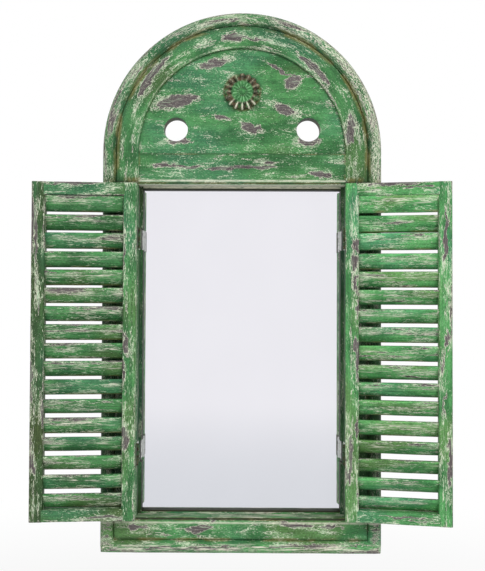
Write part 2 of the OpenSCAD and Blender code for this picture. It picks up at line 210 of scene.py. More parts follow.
class Flow:
    """A value, vector or colour on its way through nodes; arithmetic on values adds Math nodes."""

    def __init__(self, nodes, socket):
        self.nodes = nodes
        self.socket = socket

    def math(self, operation, *terms):
        return self.nodes.add("ShaderNodeMath", {"operation": operation}, terms)

    def __add__(self, other):
        return self.math("ADD", self, other)

    def __radd__(self, other):
        return self.math("ADD", other, self)

    def __sub__(self, other):
        return self.math("SUBTRACT", self, other)

    def __rsub__(self, other):
        return self.math("SUBTRACT", other, self)

    def __mul__(self, other):
        return self.math("MULTIPLY", self, other)

    def __rmul__(self, other):
        return self.math("MULTIPLY", other, self)

    def __neg__(self):
        return self.math("MULTIPLY", self, -1.0)

    def __abs__(self):
        return self.math("ABSOLUTE", self)

    def least(self, other):
        return self.math("MINIMUM", self, other)

    def most(self, other):
        return self.math("MAXIMUM", self, other)

    def step(self, low, high):
        """0 at low and 1 at high, smoothly, and held beyond them."""
        settings = {"interpolation_type": "SMOOTHSTEP", "clamp": True}
        return self.nodes.add("ShaderNodeMapRange", settings, [self, low, high, 0.0, 1.0])

    def near(self, place, reach):
        """1 at a place and 0 from a reach away."""
        return abs(self - place).step(reach, 0.0)


class Nodes:
    """The nodes of a material or of the world, each made by add."""

    def __init__(self, owner):
        owner.use_nodes = True
        self.tree = owner.node_tree
        self.tree.nodes.clear()

    def add(self, kind, settings, sockets, result=0):
        node = self.tree.nodes.new(kind)
        for key, value in settings.items():
            setattr(node, key, value)
        pairs = sockets.items() if isinstance(sockets, dict) else enumerate(sockets)
        for key, value in pairs:
            if isinstance(value, Flow):
                self.tree.links.new(value.socket, node.inputs[key])
            else:
                node.inputs[key].default_value = value
        return Flow(self, node.outputs[result]) if node.outputs else None

    def vector(self, operation, first, second=None, size=None):
        sockets = {0: first}
        if second is not None:
            sockets[1] = second
        if size is not None:
            sockets["Scale"] = size
        result = "Value" if operation == "LENGTH" else "Vector"
        return self.add("ShaderNodeVectorMath", {"operation": operation}, sockets, result)

    def parts(self, vector):
        node = self.add("ShaderNodeSeparateXYZ", {}, [vector]).socket.node
        return tuple(Flow(self, output) for output in node.outputs)

    def join(self, x, y, z):
        return self.add("ShaderNodeCombineXYZ", {}, [x, y, z])

    def mix(self, share, first, second):
        sockets = {0: share, 6: rgba(first), 7: rgba(second)}
        return self.add("ShaderNodeMix", {"data_type": "RGBA"}, sockets, 2)

    def shade(self, colour, amount):
        return self.vector("SCALE", colour, size=amount)

    def blend(self, share, first, second):
        return self.add("ShaderNodeMixShader", {}, [share, first, second])

    def rays(self):
        """Whether a ray is a reflection, and whether it comes from the camera or through glass."""
        ray = self.add("ShaderNodeLightPath", {}, {}).socket.node.outputs
        seen = Flow(self, ray["Is Camera Ray"]).most(Flow(self, ray["Is Transmission Ray"]))
        return Flow(self, ray["Is Glossy Ray"]), seen


class Finish(Nodes):
    """A material under construction; its places are Object coordinates in millimetres."""

    def __init__(self, name):
        self.material = bpy.data.materials.new(name)
        super().__init__(self.material)
        spot = self.add("ShaderNodeTexCoord", {}, {}, "Object")
        self.place = self.vector("SCALE", spot, size=1000.0)

    def noise(self, place, size, detail=2.0, rough=0.5, bend=0.0):
        """Noise whose blobs measure about size, in millimetres along, across and through."""
        sockets = {
            "Vector": self.vector("DIVIDE", place, size),
            "Scale": 1.0,
            "Detail": detail,
            "Roughness": rough,
            "Distortion": bend,
        }
        return self.add("ShaderNodeTexNoise", {}, sockets)

    def surface(self, sockets, height=None, depth=0.0003, strength=0.6, reach=0.0):
        """The shader and the output, with a bump where a height in 0 to 1 is given."""
        if height is not None:
            bump = {"Height": height, "Distance": depth, "Strength": strength}
            if reach:
                bump["Normal"] = self.add("ShaderNodeBevel", {"samples": 4}, {"Radius": reach})
            sockets["Normal"] = self.add("ShaderNodeBump", {}, bump)
        shader = self.add("ShaderNodeBsdfPrincipled", {}, sockets)
        self.add("ShaderNodeOutputMaterial", {}, {"Surface": shader})
        return self.material


def rgba(colour):
    return colour if isinstance(colour, Flow) else (*tuple(colour)[:3], 1.0)


# ---- Worn places ----

# Each gives its middle along and across the grain, half its length and width, in millimetres, and
# its lean in degrees. On the hoop along runs round the arch, and across is the distance outwards.
CROWN_WEAR = (
    (180, 112.5, 12, 3.6, 2),
    (271, 116, 23, 3.4, -4),
    (95, 108.5, 21, 3.6, 5),
    (20, 108, 15, 4.2, 12),
    (158, 111, 14, 1.4, 0),
)
PANEL_WEAR = (
    (-26.6, 480, 16, 3.8, 15),
    (-65, 441.8, 20, 6, 12),
    (37, 473.5, 13, 1.2, -30),
    (49.5, 461, 8.5, 6.2, 20),
    (42, 434.7, 12.5, 4.2, -20),
    (8.8, 416, 10, 4.6, -22),
    (-21.7, 426.1, 8, 2.4, -8),
    (-62, 402.3, 12, 2.2, 0),
    (65, 402.4, 10, 3.6, 0),
)
HEAD_WEAR = (
    (-76.9, 379.2, 10, 2.6, 0),
    (-52, 377.6, 12, 1.2, 0),
    (-2.1, 376.3, 34, 1.7, 2),
    (28.3, 381.6, 6, 1.6, 10),
    (78.1, 370, 12, 2.5, -10),
)
BASE_WEAR = (
    (-41.2, 24.7, 15, 3.2, 8),
    (55.3, 28.3, 17, 2.4, -4),
    (-102, 26.2, 10, 2.2, 0),
    (88, 27.2, 9, 1.8, 0),
    (-53, 6.2, 34, 0.75, 0),
    (67.4, 8.6, 40, 0.6, 1),
)

# On a shutter's stiles along is upwards and across is from the pin towards the meeting edge, and on
# its rails the other way about
STILE_WEAR = {
    "left_hinge": (
        (204, 10.6, 9, 2.6, 4),
        (114, 10.6, 11, 3.2, 3),
        (178, 12.2, 9, 1.4, 0),
        (296, 12.4, 16, 0.9, 0),
    ),
    "left_meeting": (
        (308, 95.5, 28, 1.6, 1),
        (318, 99.4, 24, 1.6, 0),
        (172, 99.6, 15, 1.2, 0),
        (92, 96, 9, 1.2, 3),
    ),
    "right_hinge": (
        (300.6, 10.6, 7, 2.9, 0),
        (284, 9.7, 8, 3.3, 4),
        (263, 11.8, 9, 1.3, 0),
        (237, 12, 8, 1.2, 2),
        (203, 10.8, 9, 2.1, 0),
        (187, 12, 15, 1.3, 0),
        (96, 6.2, 22, 1.9, 2),
        (124, 11.8, 12, 1.0, 0),
    ),
    "right_meeting": (
        (306, 93.6, 24, 2.0, 3),
        (210, 95.2, 8, 2.3, 0),
        (98, 97.4, 22, 1.7, 0),
        (150, 92, 9, 0.9, 4),
    ),
}
RAIL_WEAR = {
    "left": ((60, 357.4, 26, 1.2, 0), (30, 40.2, 18, 1.4, 0)),
    "right": (
        (45, 357.2, 24, 1.9, 0),
        (70, 353.2, 12, 0.8, 0),
        (58, 43.6, 20, 0.75, 1),
        (74, 40.4, 14, 0.6, 0),
    ),
}


def worn_places(f, along, across, places):
    """How far a point lies outside the nearest worn place, in millimetres across its edge."""
    spot = f.join(along, across, 0.0)
    nearest = None
    for middle, height, half_length, half_width, lean in places:
        sockets = {
            "Vector": spot,
            "Location": (middle, height, 0),
            "Rotation": (0, 0, math.radians(lean)),
            "Scale": (half_length, half_width, 1),
        }
        scaled = f.add("ShaderNodeMapping", {"vector_type": "TEXTURE"}, sockets)
        outside = (f.vector("LENGTH", scaled) - 1) * (half_width * 0.75 + half_length * 0.22)
        nearest = outside if nearest is None else nearest.least(outside)
    return nearest


# ---- Painted timber ----


def painted_timber(
    name,
    lay,
    places=(),
    tone=1.0,
    worn=0.0,
    stroke=1.0,
    offset=(0, 0, 0),
    yellow=0.5,
    combed=1.1,
    dry=0.0,
):
    """Green paint over cream primer over grey timber.

    lay gives, for a finish, the grain's three coordinates in millimetres, and how strongly the
    point lies on an edge that gets rubbed and in a corner, both from 0 to 1. A corner gathers
    dirty colour and ochre glaze and is darkened as painted shade; above 1 it is painted shadow,
    nearly black. lay may add where the paint is rubbed down to pale primer, and a share by which
    the colour is darkened, on the hoop as painted shadow. worn is how many millimetres the worn
    places have grown, stroke lengthens the flecks, offset shifts the grain, yellow is how far the
    paint has gone olive, combed how much the brush marks show, and dry how much the dry brush left
    behind.
    """
    paint = bpy.context.scene.mirror_paint
    f = Finish(name)
    along, across, through, edge, corner, *rubbed_and_darkened = lay(f)
    grain = f.vector("ADD", f.join(along, across, through), offset)

    cloud = f.noise(grain, (38, 15, 15), 2)
    hue = f.noise(grain, (90, 40, 40), 1)
    brush = f.noise(grain, (22 * stroke, 0.9, 0.9), 3, 0.6)
    mottle = f.noise(grain, (1.9, 1.3, 1.3), 3, 0.7)
    broad = f.noise(grain, (24 * stroke, 5, 5), 3, 0.6, 0.4)
    ragged = f.noise(grain, (5.0 * stroke, 1.9, 1.9), 4, 0.72)
    crumb = f.noise(grain, (1.8 * stroke, 0.9, 0.9), 3, 0.7)
    chance = f.noise(grain, (22, 9, 9), 2)
    fleck = f.noise(grain, (1.9 * stroke, 0.7, 0.7), 3, 0.66)
    streak = f.noise(grain, (14 * stroke, 0.6, 0.6), 3, 0.7)

    colour = f.mix(cloud.step(0.36, 0.62), paint.deep_green, paint.green)
    colour = f.mix(hue.step(0.52, 0.7) * 0.35, colour, paint.teal)
    colour = f.mix(hue.step(0.62 * yellow + 0.15, 0.32) * yellow, colour, paint.olive)
    marks = (brush * combed + mottle * 2.1 - 0.05 - combed * 0.5).most(0.25)
    # Brush marks and the piece's tone, darkened in corners by up to a half as painted shade
    colour = f.shade(colour, marks * (1 - corner * 0.5) * tone)

    # Millimetres of paint left round a bare place: below 0 lies timber, and just above it primer
    left = (0.71 - broad) * 20 - worn - (paint.wear - 0.5) * 6
    if places:
        sway = (f.noise(grain, (7, 11, 9), 2) - 0.5) * 16
        wobble = (f.noise(grain, (10, 6, 6), 2) - 0.5) * 9
        outside = worn_places(f, along + sway, across + wobble, places)
        left = left.least(outside + through.step(9, 5) * 40)
    left = left - edge * 2.5 + (ragged - 0.5) * (7.5 + edge * 3) + (crumb - 0.5) * (4.5 + edge * 7)
    primer = left.step(0.6, 0.3)
    bare = left.step(0.05, -0.25)
    ghost = left.near(2.2, 0.35) * chance.step(0.48, 0.56)
    near = left.step(5.0, 0.5)

    speck = (fleck + near * 0.07 + (chance - 0.5) * 0.35 + dry).step(0.635, 0.675)
    # A painted shadow line along the edge of the flaking paint, a millimetre in from the primer
    colour = f.shade(colour, 1 - left.near(1.0, 0.7) * 0.35)
    colour = f.mix(speck * 0.9, colour, f.mix(crumb.step(0.4, 0.6), paint.fleck, paint.primer))
    colour = f.mix(ghost * 0.8, colour, paint.primer)

    timber = f.mix(streak.step(0.36, 0.62), paint.dark_timber, paint.timber)
    timber = f.shade(timber, 0.7 + cloud * 0.6)
    timber = f.mix(fleck.step(0.58, 0.68) * 0.6, timber, paint.primer)
    undercoat = f.mix(mottle.step(0.6, 0.42) * 0.4, paint.primer, paint.fleck)
    colour = f.mix(primer * 0.95, colour, undercoat)
    colour = f.mix(bare, colour, timber)
    dash = (streak + near * 0.05 + (chance - 0.5) * 0.3 + dry * 0.5).step(0.645, 0.7)
    colour = f.mix(dash * 0.55, colour, paint.fleck)
    if rubbed_and_darkened:
        rubbed = rubbed_and_darkened[0] * (0.3 + 0.7 * ragged.step(0.34, 0.54))
        colour = f.mix(rubbed, colour, paint.primer)
    # The darkening lay may give: painted shadow on the hoop, and a darker sill on the base rail
    if len(rubbed_and_darkened) > 1:
        colour = f.shade(colour, 1 - rubbed_and_darkened[1])

    glaze = corner.step(0.3, 0.8) * chance.step(0.42, 0.58)
    colour = f.mix(glaze * 0.6, colour, paint.ochre)
    # Dirty colour and painted shade in the darkest corners; above 1 a corner is painted shadow, near
    # black
    black_shadow = (corner - 1).most(0.0) * 2.2
    dirt_and_shadow = corner.step(0.75, 1.0) * (0.35 + 0.5 * ragged.step(0.35, 0.6) + black_shadow)
    colour = f.mix(dirt_and_shadow, colour, paint.grime_and_shadow)

    height = 0.72 + brush * 0.14 + mottle * 0.24 - primer * 0.25 - bare * 0.35 + bare * streak * 0.3
    sockets = {
        "Base Color": colour,
        "Roughness": 0.58 + speck * 0.12 + primer * 0.22 + (brush - 0.5) * 0.2,
        "IOR": 1.45,
    }
    return f.surface(sockets, height, depth=0.0006, strength=0.8, reach=paint.arris)


# ---- How the grain lies on each piece, in millimetres, where it is rubbed and dirty, and where shade is painted ----


def lay_hoop(f):
    """Up the right upright, round the arch and down the left upright, and outwards across them."""
    x, y, z = f.parts(f.place)
    rise = z - SPRING_Z
    above = rise.most(0.0)
    radius = f.vector("LENGTH", f.join(x, above, 0.0))
    along = above.math("ARCTAN2", above, x) * 110.0 + rise.least(0.0) * x.math("SIGN", x)
    depth = -y
    front = depth.step(FACE_D - 3, FACE_D - 0.5)
    arched = rise.step(0, 3)
    below = z.step(RECESS_HIGH + 1, RECESS_HIGH)
    behind = z.step(SHUTTER_Z[1] + 2, SHUTTER_Z[1] - 4) * z.step(SHUTTER_Z[0] - 2, SHUTTER_Z[0] + 4)
    bead = radius.step(BEAD_IN + 1.5, BEAD_IN + 6)
    rim = radius.step(OUTER_R - 2.0, OUTER_R)

    inner = radius.step(RECESS_X + 2.5, RECESS_X + 0.4) * z.step(RECESS_HIGH, RECESS_HIGH - 2)
    edge = (inner * 0.5).most(radius.near(CROWN_IN + 1.6, 1.6) * arched * 0.5) * front
    edge = edge.most(bead * 0.85) * (1 - behind * bead * 0.6)

    # Darkened round the bead's quirk, at the crown's joint, above the shutters' tops and on the
    # outer rim, dirty and in painted shade; the front of the lip is painted shadow, near black
    quirk = radius.near(BEAD_IN + 0.1, 7) * (0.8 - 0.3 * behind)
    joint = radius.near(CROWN_IN, 1.6) * arched * 0.45
    ledge_dirt_and_shade = z.near(SHUTTER_Z[1] + 2.0, 12.0) * (1 - bead * 0.4) * (1 - behind) * front
    lip = depth.step(12.8, 11.6) * abs(x).step(RECESS_X, RECESS_X - 0.8) * below * 1.25
    corner = quirk.most(joint).most(ledge_dirt_and_shade).most(lip).most(rim * 0.6)

    fine = f.noise(f.join(along, radius, depth), (2.6, 0.8, 0.8), 3, 0.7)
    # The bead's primer specks grow thicker to the right, which also paints its right side lighter,
    # where the key light falls
    pale = (fine + x.step(0, 90) * 0.075).step(0.59, 0.64) * bead * depth.step(4, 12)
    line = radius.near(CROWN_IN + 1.5, 1.1) * arched * front * (fine * 3.4 - 1.5).most(0.0) * 0.7
    pale = (pale * (1 - behind)).most(line)

    # Painted shadow on the frame behind the open shutters, and on the side reveals of the opening
    shutter_shadow = behind * radius.step(RECESS_X + 4, RECESS_X + 10) * depth.step(4, 20) * 0.5
    jamb_shadow = abs(x).step(RECESS_X + 0.6, RECESS_X + 0.2) * below * depth.step(25.5, 22) * 0.45
    return along, radius, depth, edge, corner, pale, shutter_shadow.most(jamb_shadow)


def lay_head(f):
    x, y, z = f.parts(f.place)
    under = z.step(RECESS_HIGH + 0.4, RECESS_HIGH - 0.1)
    foot = z.step(RECESS_HIGH - 1.4, RECESS_HIGH - 2.2)
    # Painted shade along the arris over the opening, near black, and darkened at the joints with the
    # panel and the crown; the foot of the lip is painted shadow, near black
    corner = z.near(RECESS_HIGH + 1.5, 1.5) * 1.1
    corner = corner.most(z.step(PANEL_LOW - 2.2, PANEL_LOW) * 0.75)
    corner = corner.most(abs(x).step(CROWN_IN - 5, CROWN_IN) * 0.6) * (1 - under)
    pale = (z.near(RECESS_HIGH + 3.9, 1.7) * 0.75).most(under) * (1 - foot)
    return x, z, -y, under * 0.3, corner.most(foot * 1.25), pale


def lay_base(f):
    x, y, z = f.parts(f.place)
    depth = -y
    side = abs(x)
    front = depth.step(FACE_D - 3, FACE_D - 1)
    bead = z.step(BEAD_W - 1.5, BEAD_W - 6).most(side.step(BEAD_IN + 1.5, BEAD_IN + 6))
    sill = z.step(RECESS_LOW - 0.5, RECESS_LOW - 0.1) * depth.step(11, 13.4)
    sill = sill * side.step(RECESS_X + 0.3, RECESS_X)

    quirk = z.near(BEAD_W + 0.1, 4) * side.step(BEAD_IN + 1.5, BEAD_IN) * 0.8
    quirk = quirk.most(side.near(BEAD_IN + 0.1, 3.5) * z.step(BEAD_W - 0.5, BEAD_W) * 0.5)
    mitre = (OUTER_R - side - z).near(0.0, 1.2) * z.step(BEAD_W + 1, BEAD_W - 1) * 0.5
    # Painted shadow under the front edge of the sill and on the front of the lip below the glass,
    # both near black
    shaded = z.near(RECESS_LOW - 1.6, 3.2) * side.step(RECESS_X + 8, RECESS_X) * 1.2
    lip = z.step(RECESS_LOW + 1.2, RECESS_LOW + 1.8) * depth.step(15, 13) * 1.25
    corner = (quirk.most(mitre).most(shaded) * (1 - sill)).most(lip)

    streak = f.noise(f.join(x, depth, z), (26, 1.6, 1.6), 3, 0.65)
    pale = (sill * streak.step(0.5, 0.6)).most(z.near(6.8, 5.2) * streak.step(0.49, 0.59))
    pale = pale.most(z.near(RECESS_LOW - 5.4, 1.8) * 0.6 * front)
    return x, z, depth, (bead * 0.9).most(sill * 0.2), corner, pale, sill * 0.28


def lay_panel(f):
    x, y, z = f.parts(f.place)
    radius = f.vector("LENGTH", f.join(x, z - SPRING_Z, 0.0))
    from_hole = f.vector("LENGTH", f.join(abs(x) - HOLE_X, z - HOLE_Z, 0.0))
    from_rosette = f.vector("LENGTH", f.join(x, z - ROSETTE_Z, 0.0))
    front = (-y).step(PANEL_D - 1, PANEL_D)

    edge = radius.step(CROWN_IN - 8, CROWN_IN - 2) * x.step(40, 80) * 0.55
    sawn = from_hole.step(HOLE_R + 2.0, HOLE_R + 0.2) * z.step(HOLE_Z + 6, HOLE_Z - 6)
    edge = edge.most(sawn * front * 0.8)

    joint = radius.step(CROWN_IN - 3, CROWN_IN).most(z.step(PANEL_LOW + 2.5, PANEL_LOW + 0.2))
    # The walls of the holes and a ring round the rosette are darkened as painted shade, with some of
    # the dirty colour
    wall = (1 - front) * from_hole.step(HOLE_R + 1, HOLE_R + 0.2) * 0.95
    corner = (joint * 0.45).most(wall)
    corner = corner.most(from_rosette.step(ROSETTE_R + 3.5, ROSETTE_R - 1.0) * 0.7)
    return x, z, -y, edge, corner


def closed_place(f, side):
    """Object coordinates turned back to the closed shutter, with X from the pin."""
    turn = math.radians(OPEN[side])
    mirrored = -1 if side == "right" else 1
    shift = Matrix.Rotation(turn, 3, "Z") @ -Vector((-PIN_X, PIN_Y, 0))
    sockets = {
        "Vector": f.place,
        "Location": tuple(shift),
        "Rotation": (0, 0, turn),
        "Scale": (mirrored, 1, 1),
    }
    return f.add("ShaderNodeMapping", {"vector_type": "POINT"}, sockets)


def near_ends(z, ends, reach):
    """1 at the lower and at the upper end, and 0 from a reach away."""
    return z.near(ends[0], reach).most(z.near(ends[1], reach))


def lay_shutter_stile(side):
    def lay(f):
        x, y, z = f.parts(closed_place(f, side))
        low, high = SHUTTER_X
        patchy = f.noise(f.join(z, x, 0), (26, 9, 9), 1).step(0.42, 0.58)
        inner = near_ends(x, (low + STILE_W, high - STILE_W), 1.8)
        outer = x.step(high - 3.2, high - 0.8)
        edge = (inner * 0.5).most(outer * 0.8).most(x.near(low, 2.0) * 0.5)
        edge = (edge * (0.3 + 0.7 * patchy)).most(near_ends(z, SHUTTER_Z, 2.6) * 0.6)
        # Painted shade on the rounded meeting edge and beside the slats
        corner = (x.step(high - 2.2, high) * 0.6).most(inner * 0.28)
        return z, x, y, edge, corner

    return lay


def lay_shutter_rail(side):
    def lay(f):
        x, y, z = f.parts(closed_place(f, side))
        patchy = f.noise(f.join(x, z, 0), (26, 9, 9), 1).step(0.42, 0.58)
        inner = near_ends(z, OPENING_Z, 2.0)
        edge = near_ends(z, SHUTTER_Z, 2.4) * 0.8 * (0.3 + 0.7 * patchy)
        # Painted shade along the rail's edges beside the slats
        return x, z, y, edge.most(inner * 0.35), inner * 0.28

    return lay


def lay_slat(f):
    """Each slat keeps its own measure: along it, across it from its middle, and through it."""
    lie = f.add("ShaderNodeAttribute", {"attribute_name": "lie"}, {}, "Vector")
    along, width, through = f.parts(lie)
    patchy = f.noise(f.join(along, 0, through), (40, 20, 8), 1)
    edge = width.step(4.0, 7.2) * (0.3 + 0.75 * patchy.step(0.4, 0.58))
    edge = edge.most(width.near(3.0, 3.0) * (0.15 + 0.45 * patchy.step(0.42, 0.6)))
    # Painted shade along the lower edge and at the ends beside the stiles
    low = width.step(-2.5, -8.5) * 0.8
    ends = along.step(SHUTTER_X[0] + STILE_W + 3, SHUTTER_X[0] + STILE_W)
    ends = ends.most(along.step(SHUTTER_X[1] - STILE_W - 3, SHUTTER_X[1] - STILE_W))
    streak = f.noise(f.join(along, width, through), (15, 1.3, 1.3), 3, 0.7).step(0.5, 0.6)
    pale = streak * width.near(3.2, 4.2) * patchy.step(0.36, 0.56)
    return along, width, through, edge, low.most(ends * 0.45), pale


# ---- The other finishes ----


def carved_rosette():
    """Rubbed ridges and dirty grooves that follow the petals."""
    paint = bpy.context.scene.mirror_paint
    dirty_brown = tint(104, 88, 66)
    rubbed_grey = tint(176, 178, 152)
    rubbed_green = tint(150, 196, 150)
    f = Finish("carved_petals")
    x, y, z = f.parts(f.place)
    rise = z - ROSETTE_Z
    radius = f.vector("LENGTH", f.join(x, rise, 0.0))
    turn = rise.math("ARCTAN2", rise, x)
    height = -y - (FACE_D - 2.0)
    wave = turn.math("COSINE", turn * float(PETALS))
    patchy = f.noise(f.place, (7, 7, 7), 2, 0.6)
    blot = f.noise(f.place, (3.2, 3.2, 3.2), 3, 0.65)
    fine = f.noise(f.join(radius, turn * 12.0, height), (2.4, 0.7, 0.7), 3, 0.65)
    inner = radius.step(12.0, 9.5)
    middle = radius.step(3.8, 3.2)
    low = rise.step(-6, -13)

    green = f.mix(blot.step(0.36, 0.62), paint.deep_green, paint.green)
    brown = f.mix(blot.step(0.38, 0.62), paint.grime_and_shadow, dirty_brown)
    colour = f.mix(inner.most(patchy.step(0.5, 0.62) * 0.6), brown, green)
    colour = f.shade(colour, 0.55 + fine * 0.7)
    colour = f.mix(radius.near(4.2, 1.4) * 0.6 * patchy.step(0.36, 0.5), colour, paint.grime_and_shadow)

    ridge = wave.step(0.45, 0.95) * (1 - inner) + (-wave).step(0.2, 0.9) * inner
    ridge = ridge * (1 - middle) * height.step(1.2, 2.4)
    rub = ridge * (fine * 0.8 + blot * 1.3 - 0.65 + low * 0.35).step(0.15, 0.75)
    worn = f.mix(inner, f.mix(low * 0.6, rubbed_grey, paint.primer), rubbed_green)
    colour = f.mix(rub * (0.62 + 0.3 * low), colour, worn)
    sockets = {"Base Color": colour, "Roughness": 0.55 + rub * 0.25}
    relief = height * 0.1 + fine * 0.35
    return f.surface(sockets, relief, depth=0.0005, strength=0.7, reach=0.0004)


def aged_brass():
    """Stained brass, partly painted over in front; where it faces the mirror, near white, part shine
    and part painted reflection.
    """
    metal = bpy.context.scene.mirror_metal
    paint = bpy.context.scene.mirror_paint
    tarnish = tint(52, 50, 38)
    f = Finish("aged_brass")
    behind_pin = f.parts(f.place)[1] - PIN_Y
    rear = behind_pin.step(-0.1, 0.6)
    stain = f.noise(f.place, (3, 3, 5), 3, 0.6)
    scratch = f.noise(f.place, (0.5, 0.5, 4), 3, 0.6)
    painted = f.noise(f.place, (5, 5, 4), 2, 0.6).step(0.42, 0.55) * (1 - rear)
    colour = f.mix(stain.step(0.36, 0.6), metal.brass, tarnish)
    # Near white behind the pin, where the leaves face the mirror: shine and painted reflection
    colour = f.mix(rear * stain.step(0.75, 0.55), colour, metal.bright_metal_and_reflection)
    colour = f.mix(painted * 0.75, colour, f.shade(paint.deep_green, 0.6))
    sockets = {
        "Base Color": colour,
        "Metallic": 0.8 - painted * 0.7 - rear * 0.5,
        "Roughness": 0.42 + scratch * 0.25 - rear * 0.2,
    }
    relief = scratch * 0.5 + painted * 0.4
    return f.surface(sockets, relief, depth=0.0002, strength=0.5, reach=0.0002)


def plated_steel():
    metal = bpy.context.scene.mirror_metal
    dull_zinc = tint(128, 124, 116)
    f = Finish("plated_steel")
    bloom = f.noise(f.place, (4, 4, 4), 3, 0.6)
    brushed = f.noise(f.place, (0.4, 0.4, 7), 3, 0.6)
    colour = f.mix(bloom.step(0.45, 0.7) * 0.6, metal.steel, dull_zinc)
    sockets = {"Base Color": colour, "Metallic": 0.95, "Roughness": 0.3 + brushed * 0.25}
    return f.surface(sockets, brushed, depth=0.0001, strength=0.35, reach=0.0002)


def silvered_glass():
    metal = bpy.context.scene.mirror_metal
    hazed, dark_border = tint(242, 242, 246), tint(120, 130, 128)
    f = Finish("silvered_glass")
    x, y, _ = f.parts(f.place)
    haze = f.noise(f.place, (60, 60, 80), 3, 0.5)
    colour = f.mix(haze.step(0.35, 0.65) * 0.3, metal.glass, hazed)
    border = abs(x).step(RECESS_X - 1.2, RECESS_X - 0.4)
    colour = f.mix(border * 0.6, colour, dark_border)
    front = (-y).step(5.2, 6.4)
    return f.surface({
        "Base Color": colour,
        "Metallic": front * 0.98,
        "Roughness": 0.35 - front * 0.34,
    })


def raw_hardboard():
    metal = bpy.context.scene.mirror_metal
    dark_fibre, dry_board = tint(88, 62, 40), tint(150, 120, 88)
    f = Finish("raw_hardboard")
    fibre = f.noise(f.place, (1.2, 1.2, 2.2), 4, 0.7, 0.6)
    blotch = f.noise(f.place, (60, 60, 80), 3, 0.5)
    weave = f.noise(f.place, (0.6, 0.6, 0.6), 1, 0.5)
    colour = f.mix(fibre.step(0.35, 0.65), dark_fibre, metal.board)
    colour = f.mix(blotch.step(0.45, 0.7) * 0.35, colour, dry_board)
    sockets = {"Base Color": colour, "Roughness": 0.78 + fibre * 0.15}
    relief = fibre * 0.7 + weave * 0.3
    return f.surface(sockets, relief, depth=0.0003, strength=0.6, reach=0.0003)


def dress(finish, *nodes):
    """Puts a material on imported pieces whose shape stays."""
    for name in nodes:
        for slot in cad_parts[name].material_slots:
            slot.link = "OBJECT"
            slot.material = finish


# ---- Making ----


def lengthways(b, axis):
    """The edges that run along an axis."""
    return [
        e for e in b.edges
        if abs((e.verts[0].co - e.verts[1].co).normalized()[axis]) > 0.99
    ]


def eased_timber(low, high, ease, cuts, end_ease=0.5):
    """A length of timber between two corners, with its edges eased and cuts across its length.

    It gives the mesh, which lies round its middle in millimetres, the axis of its length and where
    its middle belongs.
    """
    low, high = Vector(low), Vector(high)
    size = high - low
    axis = max(range(3), key=lambda n: size[n])
    b = bmesh.new()
    bmesh.ops.create_cube(b, size=1.0)
    bmesh.ops.scale(b, vec=size, verts=b.verts)
    rounding = {"offset_type": "OFFSET", "profile": 0.5, "affect": "EDGES", "material": -1}
    bmesh.ops.bevel(b, geom=lengthways(b, axis), offset=ease, segments=4, **rounding)
    half = size[axis] / 2 - 0.01
    ends = [
        e for e in b.edges
        if all(v.co[axis] > half for v in e.verts) or all(v.co[axis] < -half for v in e.verts)
    ]
    bmesh.ops.bevel(b, geom=ends, offset=end_ease, segments=2, **rounding)
    bmesh.ops.subdivide_edges(b, edges=lengthways(b, axis), cuts=cuts)
    return b, axis, (low + high) / 2


def plane_by_hand(b, axis, depth, reach, seed):
    """Takes a little off every face, unevenly along the length, as a plane and rubbing do."""
    for v in b.verts:
        for n in range(3):
            if n != axis:
                way = math.copysign(1, v.co[n])
                spot = Vector((v.co[axis] / reach, seed + n * 7.3, way * 3.1))
                v.co[n] -= way * depth * (0.5 + 0.5 * noise.noise(spot))


def planed_timber(low, high, ease, cuts, depth, reach, seed, end_ease=0.5):
    """Eased timber, planed by hand and set in its place."""
    b, axis, middle = eased_timber(low, high, ease, cuts, end_ease)
    plane_by_hand(b, axis, depth, reach, seed)
    bmesh.ops.translate(b, verts=b.verts, vec=middle)
    return b


def take_in(b, other):
    """Adds another piece of timber to this one."""
    mesh = bpy.data.meshes.new("taken_in")
    other.to_mesh(mesh)
    other.free()
    b.from_mesh(mesh)
    bpy.data.meshes.remove(mesh)


def beaded_foot(high):
    """The bead of the base rail: down the left end, along the foot and up the right end, mitred."""
    b = bmesh.new()
    half = BEAD_W / 2
    bmesh.ops.create_circle(b, cap_ends=True, segments=32, radius=half)
    for v in b.verts:
        # The front half stays round and the other half is drawn back to the wall
        back = half - CREST_D if v.co.y < -0.01 else v.co.y
        v.co = (v.co.x + half - OUTER_R, half - CREST_D - back, high)
    cap = b.faces[:]
    # Down to the first mitre, along to the second one, and up
    for turn in (
        lambda co: (co.x, co.y, co.x + OUTER_R),
        lambda co: (-co.x, co.y, co.z),
        lambda co: (co.x, co.y, high),
    ):
        grown = bmesh.ops.extrude_face_region(b, geom=cap)["geom"]
        cap = [part for part in grown if isinstance(part, bmesh.types.BMFace)]
        for v in cap[0].verts:
            v.co = turn(v.co)
    bmesh.ops.holes_fill(b, edges=[e for e in b.edges if e.is_boundary])
    # Cuts across the foot and across its upturned ends, so that a plane can shape them
    for axis, shortest, cuts in ((0, 60, 44), (2, 15, 4)):
        long_edges = [e for e in lengthways(b, axis) if e.calc_length() > shortest]
        bmesh.ops.subdivide_edges(b, edges=long_edges, cuts=cuts)
    round_foot_corners(b, 3)
    middle = Vector((0, -CREST_D / 2, high / 2))
    bmesh.ops.translate(b, verts=b.verts, vec=-middle)
    plane_by_hand(b, axis=0, depth=0.3, reach=24, seed=2)
    bmesh.ops.translate(b, verts=b.verts, vec=middle)
    return b


def round_foot_corners(b, radius):
    """Draws in what lies outside an arc at the two lower corners of the frame."""
    for v in b.verts:
        reach = Vector((abs(v.co.x) - OUTER_R + radius, v.co.z - radius))
        if reach.x > 0 > reach.y and reach.length > radius:
            reach *= radius / reach.length
            side = math.copysign(OUTER_R - radius + reach.x, v.co.x)
            v.co = (side, v.co.y, radius + reach.y)


